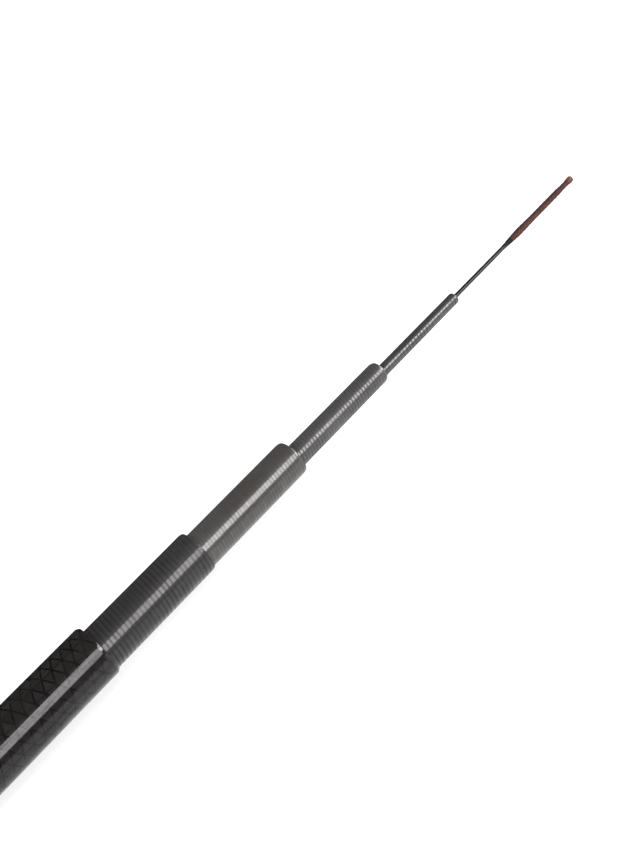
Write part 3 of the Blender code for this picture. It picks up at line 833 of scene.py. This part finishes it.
class POLE_OT_butt(bpy.types.Operator):
    """Covers the butt section with its cross-wrapped carbon"""

    bl_idname = "hand_pole.butt"
    bl_label = "Butt section"

    def execute(self, context):
        settings = context.scene.hand_pole_butt
        tube = Tube("butt_tube")
        places = np.linspace(tube.base + 0.002, tube.mouth - 0.003, 60)
        stations, outside = tube_stations(tube, places, BUTT_LIP)
        inside = range(outside, len(stations) - 1)
        finishes = [butt_finish(settings, tube.drop), bore_finish("butt_bore", (0.020, 0.019, 0.019))]
        blank = turned("butt_blank", stations, 128, tube.drop, finishes, inside_rows=inside)
        place_on(blank, "butt", "butt_carbon", "butt_tube")
        return {"FINISHED"}


# Sections 2 to 5: rings of points in one rib, half a groove as a share of a rib, and how grooves fade out
RIB_RINGS = 8
GROOVE_HALF = 0.26
GROOVE_FADE_IN = 0.003
GROOVE_FADE_OUT = 0.0012

# Each section's segments and ribs round it, its lip, and its gloss and grooves
RIBBED = (
    {"node": "section_2_tube", "segments": 72, "starts": 3, "slot": "tube_graphite"},
    {"node": "section_3_tube", "segments": 64, "starts": 4, "slot": "tube_warm_grey"},
    {"node": "section_4_tube", "segments": 48, "starts": 3, "slot": "tube_grey"},
    {"node": "section_5_tube", "segments": 32, "starts": 2, "slot": "tube_dark_grey"},
)
LIPS = (
    {"length": 0.0011, "depth": 0.00040, "flat": 0.50},
    {"length": 0.0015, "depth": 0.00062, "flat": 0.10},
    {"length": 0.0014, "depth": 0.00066, "flat": 0.30},
    {"length": 0.0006, "depth": 0.00038, "flat": 0.10},
)
SHADES = (
    {"specular": 0.25, "coat_ior": 1.49, "groove_dull": 0.70, "groove_shade": 0.55, "bump": 0.000004},
    {"specular": 0.40, "coat_ior": 1.72, "groove_dull": 0.55, "groove_shade": 0.26, "bump": 0.000003},
    {"specular": 0.40, "coat_ior": 1.65, "groove_dull": 1.0, "groove_shade": 0.45, "bump": 0.000003},
    {"specular": 0.40, "coat_ior": 1.80, "groove_dull": 0.85, "groove_shade": 0.18, "bump": 0.000002},
)


class POLE_OT_sections(bpy.types.Operator):
    """Covers the four inner sections with their ribbed blanks"""

    bl_idname = "hand_pole.sections"
    bl_label = "Ribbed sections"

    def execute(self, context):
        settings = context.scene.hand_pole_sections
        colors = (settings.color_2, settings.color_3, settings.color_4, settings.color_5)
        kinds = zip(RIBBED, SHADES, LIPS, colors, settings.pitches)
        for number, (kind, shade, lip, color, pitch) in enumerate(kinds, 2):
            tube = Tube(kind["node"])
            step = pitch / RIB_RINGS
            ribbed_from = tube.mouth - settings.ribbed_length
            count = int((settings.ribbed_length - lip["length"] - 0.0002) / step)
            near = ribbed_from + np.arange(count) * step
            far = np.linspace(tube.base + 0.002, ribbed_from - 0.001, 40)
            stations, outside = tube_stations(tube, np.concatenate([far, near]), lip)
            rib_end = tube.mouth - lip["length"]

            def grooves(place, turn, pitch=pitch, starts=kind["starts"], start=ribbed_from, end=rib_end):
                phase = place / pitch + starts * turn / TURN
                off = 0.5 - np.abs(phase % 1.0 - 0.5)
                share = smooth((place - start) / GROOVE_FADE_IN) * smooth((end - place) / GROOVE_FADE_OUT)
                depth = settings.rib_depth * share * smooth(1 - off / GROOVE_HALF)
                rows = np.arange(place.shape[0])[:, None] < outside
                return np.where(rows, -depth, 0.0)

            name = f"section_{number}_blank"
            finishes = [
                ribbed_finish(f"ribbed_{number}", color, tube, pitch, kind["starts"], shade),
                bore_finish(f"section_{number}_bore", (0.022, 0.021, 0.021)),
            ]
            inside = range(outside, len(stations) - 1)
            blank = turned(
                name, stations, kind["segments"], tube.drop, finishes, relief=grooves, inside_rows=inside
            )
            place_on(blank, f"section_{number}", kind["slot"], kind["node"])
        return {"FINISHED"}


# ---------------------------------------------------------------- tip


# The tip's rounded base, its brushed varnish, and where the neck's thread swells, as shares of its length
TIP_ROUND = 0.0004
BRUSH_DEPTH = 0.000012
SWELL_PLACE = 0.42
SWELL_RUN = 0.24
NECK_LEAST_WALL = 0.00004
THREAD_GROOVE = 0.000030


def varnish_finish(name, color, roughness, coat, coat_roughness):
    """Black varnish, streaked along the pole."""
    finish = Finish(name, roughness=roughness, specular=0.2, coat=coat, coat_roughness=coat_roughness)
    streaks = finish.noise(1500, 3, stretch=(0.03, 1, 1))
    slow = finish.noise(120, 2)
    tone = finish.mix(finish.ramp(streaks, 0.35, 0.7), rgba(color, 0.75), rgba(color, 1.25))
    finish.color(finish.mix(finish.ramp(slow, 0.4, 0.8), tone, rgba(color, 1.5)))
    finish.rough(finish.ramp(streaks, 0.2, 0.8, roughness * 0.8, roughness * 1.2))
    finish.bump(slow, 0.00002, 0.6)
    return finish.material


class POLE_OT_tip(bpy.types.Operator):
    """Varnishes the solid tip and whips the neck on its end"""

    bl_idname = "hand_pole.tip"
    bl_label = "Tip and neck"

    def execute(self, context):
        settings = context.scene.hand_pole_tip
        low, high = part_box("tip_rod")
        drop = centre_drop("tip_rod")
        points, radii = radii_of("tip_rod", drop)
        thin = float(radii[points[:, 0] > high.x - 0.0001].max())
        thick = float(radii.max())
        length = high.x - low.x
        stations = [(low.x, 0.0)]
        for step in range(6):
            angle = 0.5 * math.pi * step / 5
            place = low.x + TIP_ROUND * (1 - math.cos(angle))
            stations.append((place, thick - TIP_ROUND + TIP_ROUND * math.sin(angle)))
        for place in np.linspace(low.x + 0.001, high.x - 0.0002, 400):
            stations.append((place, thick + (thin - thick) * (place - low.x) / length))
        stations += [(high.x, thin - 0.0002), (high.x, 0.0)]

        def brushed(place, turn):
            inside = smooth((place - low.x) / 0.002) * smooth((high.x - place) / 0.002)
            wave = 1 + np.sin(place * 1900 + 2 * np.sin(place * 410))
            return -inside * BRUSH_DEPTH * wave * np.ones_like(turn)

        finish = varnish_finish("black_tip_varnish", settings.color, 0.30, 0.80, 0.12)
        rod = turned("tip_blank", stations, 36, drop, [finish], relief=brushed, closed=False)
        place_on(rod, "tip", "tip_black", "tip_rod")

        low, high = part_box("connector_collar")
        points, radii = radii_of("connector_collar", drop)
        start = float(radii[points[:, 0] < low.x + 0.00005].max())
        bore = float(radii.min())
        full = float(radii.max())
        length = high.x - low.x
        count = int(length / settings.thread * 8)
        whipped = []
        for step in range(count + 1):
            share = step / count
            size = start + (full - start) * float(smooth((share - SWELL_PLACE) / SWELL_RUN))
            whipped.append((low.x + share * length, max(size, bore + NECK_LEAST_WALL)))
        stations = whipped + [(high.x, bore), (low.x, bore)]

        def threads(place, turn):
            phase = (place - low.x) / settings.thread + turn / TURN
            rows = np.arange(place.shape[0])[:, None] < len(whipped)
            return np.where(rows, -THREAD_GROOVE * np.abs(np.sin(math.pi * phase)) ** 0.5, 0.0)

        neck_finish = varnish_finish("neck_thread_varnish", settings.neck, 0.60, 0.10, 0.35)
        neck = turned("neck_whipping", stations, 32, drop, [neck_finish], relief=threads)
        place_on(neck, "tip", "collar_black", "connector_collar")
        return {"FINISHED"}


# ---------------------------------------------------------------- cap end


# Cap: rounded edges, dish, flutes and turning marks. Insert: its flange. Washer: how square it is
CAP_EDGE = 0.0008
CAP_BACK_EDGE = 0.0004
CAP_DISH_WALL = 0.0014
CAP_DISH_DEPTH = 0.0030
CAP_FLUTES = 30
FLUTE_DEPTH = 0.00045
FLANGE_THICKNESS = 0.0012
TURNING_STEP = 0.00018
THREAD_FADE = 0.0006
WASHER_POINTS = 28
WASHER_SQUARENESS = 0.45


def anodised_finish(settings):
    """Black anodised metal with turning marks and worn spots."""
    finish = Finish("black_anodised", roughness=0.34, metallic=1.0)
    parts = finish.node("SeparateXYZ", {0: finish.where}).outputs
    ring = finish.node("CombineXYZ", {0: 0.0, 1: parts[1], 2: parts[2]}).outputs[0]
    radius = finish.node("VectorMath", {0: ring}, operation="LENGTH").outputs["Value"]
    rings = finish.math("SINE", finish.math("MULTIPLY", radius, TURN / TURNING_STEP))
    grain = finish.noise(5200, 2)
    worn = finish.ramp(finish.noise(420, 4), 0.62, 0.75)
    tone = finish.mix(worn, rgba(settings.metal), rgba(settings.metal, 2.6))
    finish.color(finish.mix(finish.ramp(grain, 0.3, 0.7), tone, rgba(settings.metal, 1.3)))
    finish.rough(finish.ramp(grain, 0.2, 0.8, 0.28, 0.42))
    height = finish.math("MULTIPLY_ADD", rings, 0.5, grain)
    finish.bump(height, 0.000004, 0.8)
    return finish.material


def matt_finish(name, color, scale, roughness, distance):
    """Rubber or foam with fine pores."""
    finish = Finish(name, roughness=roughness, specular=0.3)
    pores = finish.node("TexVoronoi", {"Vector": finish.where, "Scale": scale}).outputs[0]
    slow = finish.noise(scale / 6, 3)
    tone = finish.mix(finish.ramp(pores, 0.15, 0.55), rgba(color, 0.55), rgba(color))
    finish.color(finish.mix(finish.ramp(slow, 0.35, 0.75), tone, rgba(color, 1.4)))
    finish.rough(finish.ramp(slow, 0.2, 0.8, roughness - 0.08, min(roughness + 0.06, 1.0)))
    finish.bump(pores, distance, 0.8)
    return finish.material


class POLE_OT_cap(bpy.types.Operator):
    """Dresses the screw cap, the washer and the threaded insert"""

    bl_idname = "hand_pole.cap"
    bl_label = "Screw cap"

    def execute(self, context):
        settings = context.scene.hand_pole_cap
        finish = anodised_finish(settings)
        low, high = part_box("butt_cap")
        points, radii = radii_of("butt_cap")
        washer_low, washer_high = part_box("cap_washer")
        head_end = washer_low.x - 0.0001
        head = float(radii.max())
        shank = float(radii[points[:, 0] > head_end + 0.001].max())
        edge, back_edge, dish = CAP_EDGE, CAP_BACK_EDGE, shank - CAP_DISH_WALL
        pitch, thread = settings.thread_pitch, settings.thread_depth
        stations = [(0.0, 0.0), (0.0, 0.45 * head), (0.0, head - edge)]
        for step in range(1, 7):
            angle = 0.5 * math.pi * step / 6
            stations.append((edge - edge * math.cos(angle), head - edge + edge * math.sin(angle)))
        stations += [(place, head) for place in np.linspace(edge + 0.0001, head_end - 0.0005, 14)]
        for step in range(1, 6):
            angle = 0.5 * math.pi * step / 5
            place = head_end - back_edge + back_edge * math.sin(angle)
            stations.append((place, head - back_edge + back_edge * math.cos(angle)))
        stations.append((head_end, shank))
        thread_from = len(stations)
        stations += [(place, shank) for place in np.arange(head_end + 0.0003, high.x - 0.0004, 0.0001)]
        thread_to = len(stations)
        stations += [(high.x - 0.0002, shank - 0.0001), (high.x, shank - 0.0003), (high.x, dish + 0.0002)]
        stations += [(high.x - 0.0002, dish), (high.x - CAP_DISH_DEPTH, dish), (high.x - CAP_DISH_DEPTH, 0.0)]

        def cap_relief(place, turn):
            rows = np.arange(place.shape[0])[:, None]
            flute = 0.5 + 0.5 * np.cos(CAP_FLUTES * turn)
            edges = smooth((place - 0.0005) / 0.0007) * smooth((head_end - 0.0005 - place) / 0.0007)
            fluted = np.where((rows >= 3) & (rows < thread_from - 1), -FLUTE_DEPTH * flute**3 * edges, 0.0)
            phase = (place / pitch - turn / TURN) % 1.0
            profile = smooth((np.abs(phase - 0.5) - 0.12) / 0.22)
            run = smooth((place - head_end - 0.0006) / THREAD_FADE)
            run = run * smooth((high.x - 0.0006 - place) / THREAD_FADE)
            threaded = np.where((rows >= thread_from) & (rows < thread_to), -thread * profile * run, 0.0)
            return fluted + threaded

        cap = turned("screw_cap", stations, 360, 0.0, [finish], relief=cap_relief, closed=False, sharp=50)
        place_on(cap, "cap", "cap_metal", "butt_cap")

        low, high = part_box("butt_insert")
        points, radii = radii_of("butt_insert")
        flange, bore = float(radii.max()), float(radii.min())
        sleeve = float(radii[points[:, 0] > low.x + 0.002].max())
        flange_end = low.x + FLANGE_THICKNESS
        edge = BASE_CHAMFER
        stations = [(low.x, bore + edge), (low.x, flange - edge), (low.x + edge, flange)]
        stations += [(flange_end - edge, flange), (flange_end, flange - edge), (flange_end, sleeve)]
        stations += [(high.x - edge, sleeve), (high.x, sleeve - edge), (high.x, bore + edge)]
        inner_from = len(stations)
        stations += [(place, bore) for place in np.arange(high.x - edge, low.x + edge, -0.00012)]

        def insert_relief(place, turn):
            rows = np.arange(place.shape[0])[:, None]
            phase = (place / pitch - turn / TURN + 0.5) % 1.0
            profile = smooth((0.34 - np.abs(phase - 0.5)) / 0.22)
            run = smooth((place - low.x - 0.0005) / THREAD_FADE)
            run = run * smooth((high.x - 0.0005 - place) / THREAD_FADE)
            return np.where(rows >= inner_from, thread * 0.9 * profile * run, 0.0)

        insert = turned("threaded_insert", stations, 120, 0.0, [finish], relief=insert_relief, sharp=50)
        place_on(insert, "butt", "cap_metal", "butt_insert")

        _, radii = radii_of("cap_washer")
        inner, outer = float(radii.min()), float(radii.max())
        middle = (washer_low.x + washer_high.x) / 2
        half_thick, half_wide = (washer_high.x - washer_low.x) / 2, (outer - inner) / 2
        stations = []
        for step in range(WASHER_POINTS):
            angle = TURN * step / WASHER_POINTS
            c, s = math.cos(angle), math.sin(angle)
            place = middle + half_thick * math.copysign(abs(s) ** WASHER_SQUARENESS, s)
            radius = (inner + outer) / 2 + half_wide * math.copysign(abs(c) ** WASHER_SQUARENESS, c)
            stations.append((place, radius))
        rubber = matt_finish("black_rubber", settings.rubber, 3000, 0.78, 0.00001)
        washer = turned("rubber_washer", stations, 96, 0.0, [rubber], sharp=75)
        place_on(washer, "washer", "washer_rubber", "cap_washer")
        return {"FINISHED"}


# The pad's pressed rim: its flat faces as a share of the radius, and its front rim as one of the thickness
PAD_FLAT = 0.93
PAD_RIM = 0.94
PORE_DEPTH = 0.00002


class POLE_OT_pad(bpy.types.Operator):
    """Cushions the cap's inner end with its foam pad"""

    bl_idname = "hand_pole.pad"
    bl_label = "Foam pad"

    def execute(self, context):
        settings = context.scene.hand_pole_cap
        low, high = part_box("cap_pad")
        radius, thick = (high.z - low.z) / 2, high.x - low.x
        stations = [(low.x, radius * step / 12 * PAD_FLAT) for step in range(13)]
        for step in range(1, 16):
            angle = math.pi * step / 16
            bulge = math.sin(angle) ** 0.7
            place = low.x + thick * (0.5 - 0.5 * math.cos(angle)) * PAD_RIM
            stations.append((place, radius * (PAD_FLAT + (1 - PAD_FLAT) * bulge)))
        for step in range(25):
            share = 1 - step / 24
            crown = thick * (PAD_RIM + (1 - PAD_RIM) * (1 - share**2))
            stations.append((low.x + crown, radius * PAD_FLAT * share))

        def pores(place, turn):
            wave = np.sin(23 * turn + place * 9000) * np.sin(17 * turn - place * 7000)
            return -PORE_DEPTH * (1 + wave) * (place > low.x + 0.0001)

        foam = matt_finish("grey_foam", settings.foam, 2200, 0.92, 0.00006)
        pad = turned("foam_pad", stations, 96, 0.0, [foam], relief=pores, closed=False, sharp=70)
        place_on(pad, "cap", "pad_foam", "cap_pad")
        return {"FINISHED"}


# ---------------------------------------------------------------- panel and registration


class POLE_PT_finish(bpy.types.Panel):
    """Lists the pieces of the hand pole"""

    bl_label = "Hand Pole"
    bl_idname = "POLE_PT_finish"
    bl_space_type = "VIEW_3D"
    bl_region_type = "UI"
    bl_category = "Hand Pole"

    def draw(self, context):
        for operator, settings in STEPS:
            box = self.layout.box()
            box.operator(operator.bl_idname)
            group = getattr(context.scene, settings)
            for key in group.__annotations__:
                box.prop(group, key)


SETTINGS = (
    ("hand_pole_stage", StageSettings),
    ("hand_pole_braid", BraidSettings),
    ("hand_pole_butt", ButtSettings),
    ("hand_pole_sections", SectionSettings),
    ("hand_pole_tip", TipSettings),
    ("hand_pole_cap", CapSettings),
)
STEPS = (
    (POLE_OT_stage, "hand_pole_stage"),
    (POLE_OT_connector, "hand_pole_braid"),
    (POLE_OT_butt, "hand_pole_butt"),
    (POLE_OT_sections, "hand_pole_sections"),
    (POLE_OT_tip, "hand_pole_tip"),
    (POLE_OT_cap, "hand_pole_cap"),
    (POLE_OT_pad, "hand_pole_cap"),
)


def register():
    for name, group in SETTINGS:
        bpy.utils.register_class(group)
        setattr(bpy.types.Scene, name, PointerProperty(type=group))
    for operator, _ in STEPS:
        bpy.utils.register_class(operator)
    bpy.utils.register_class(POLE_PT_finish)


def unregister():
    bpy.utils.unregister_class(POLE_PT_finish)
    for operator, _ in reversed(STEPS):
        bpy.utils.unregister_class(operator)
    for name, group in reversed(SETTINGS):
        delattr(bpy.types.Scene, name)
        bpy.utils.unregister_class(group)


def main():
    """Clears what isn't the frame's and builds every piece."""
    for obj in list(bpy.data.objects):
        if not (obj.name.startswith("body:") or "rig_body" in obj):
            bpy.data.objects.remove(obj)
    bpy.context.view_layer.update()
    register()
    bpy.ops.hand_pole.stage()
    bpy.ops.hand_pole.connector()
    bpy.ops.hand_pole.butt()
    bpy.ops.hand_pole.sections()
    bpy.ops.hand_pole.tip()
    bpy.ops.hand_pole.cap()
    bpy.ops.hand_pole.pad()


if __name__ == "__main__":
    main()
